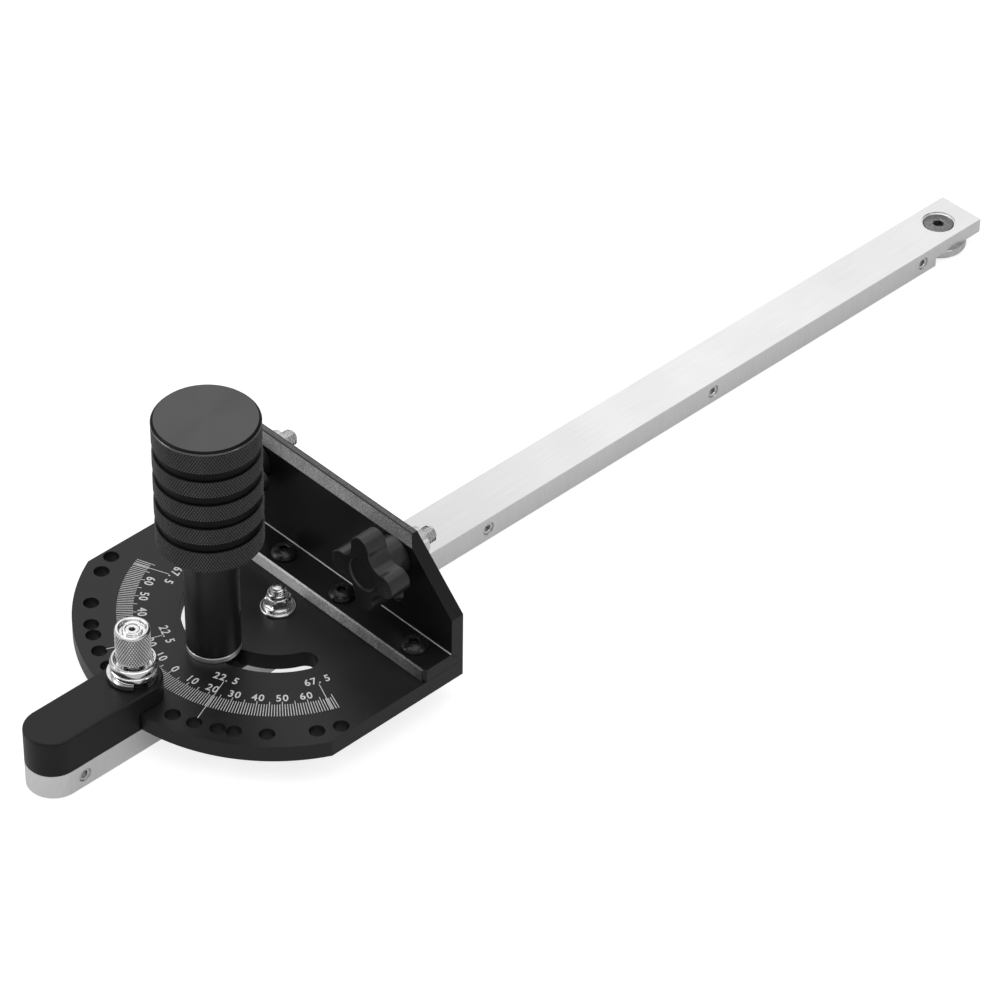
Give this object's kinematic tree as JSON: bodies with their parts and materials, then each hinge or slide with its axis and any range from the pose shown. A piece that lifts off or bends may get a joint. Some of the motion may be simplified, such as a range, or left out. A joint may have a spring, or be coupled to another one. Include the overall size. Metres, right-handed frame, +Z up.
{
  "type": "miter gauge",
  "caption": "Table-saw miter gauge: slot bar, swinging half-round protractor head with index plunger, locking handle and a bracket with clamp knobs for a fence.",
  "frame": {"origin": "on the head's pivot axis, at the underside of the guide bar", "axes": "+Y along the bar, from the user to the far end and the way the fence face looks; +X to the user's right; +Z up, out of the table"},
  "size_m": [0.123, 0.45, 0.1133],
  "materials": {
    "bar_aluminium": "bright satin, drawn along the bar",
    "black_anodised": "black anodised, satin",
    "black_plastic": "moulded, fine satin",
    "zinc_steel": "zinc plated, bright",
    "bright_steel": "turned stainless, bright",
    "dark_steel": "dark oiled steel",
    "black_oxide": "black oxide, semi-gloss"
  },
  "bodies": {
    "guide_bar": {"miter_bar": "bar_aluminium", "slot_washer": "zinc_steel", "slot_washer_screw": "dark_steel", "bar_set_screws": "zinc_steel", "pointer_block": "black_anodised", "pointer_block_screws": "dark_steel", "plunger_housing": "zinc_steel", "plunger_lock_washer": "zinc_steel", "pivot_stud": "zinc_steel", "pivot_washer": "zinc_steel", "pivot_nut": "zinc_steel"},
    "head": {"protractor_plate": "black_anodised", "fence_bracket": "black_anodised", "bracket_screws": "black_oxide"},
    "plunger": {"plunger_knob": "bright_steel", "plunger_pin": "bright_steel"},
    "handle": {"handle_grip": "black_anodised", "handle_post": "black_anodised", "handle_washer": "zinc_steel", "handle_stud": "zinc_steel"},
    "left_clamp": {"fence_nut_left": "zinc_steel"},
    "right_clamp": {"fence_nut_right": "zinc_steel"},
    "left_knob": {"star_knob_left": "black_plastic", "fence_stud_left": "zinc_steel"},
    "right_knob": {"star_knob_right": "black_plastic", "fence_stud_right": "zinc_steel"}
  },
  "joints": [
    {"name": "head_swing", "type": "hinge", "parent": "guide_bar", "child": "head", "pos_m": [0, 0, 0], "axis": [0, 0, 1], "range_deg": [-67.5, 67.5]},
    {"name": "plunger_drop", "type": "slide", "parent": "guide_bar", "child": "plunger", "axis": [0, 0, 1], "range_m": [-0.003, 0]},
    {"name": "handle_turn", "type": "hinge", "parent": "guide_bar", "child": "handle", "pos_m": [0, -0.02845, 0], "axis": [0, 0, 1], "range_deg": [0, 180]},
    {"name": "left_clamp_slide", "type": "slide", "parent": "head", "child": "left_clamp", "axis": [0, 0, 1], "range_m": [-0.009, 0]},
    {"name": "right_clamp_slide", "type": "slide", "parent": "head", "child": "right_clamp", "axis": [0, 0, 1], "range_m": [-0.009, 0]},
    {"name": "left_knob_turn", "type": "hinge", "parent": "left_clamp", "child": "left_knob", "pos_m": [-0.0345, 0, 0.048], "axis": [0, -1, 0], "range_deg": [0, 180]},
    {"name": "right_knob_turn", "type": "hinge", "parent": "right_clamp", "child": "right_knob", "pos_m": [0.0345, 0, 0.048], "axis": [0, -1, 0], "range_deg": [0, 180]}
  ]
}
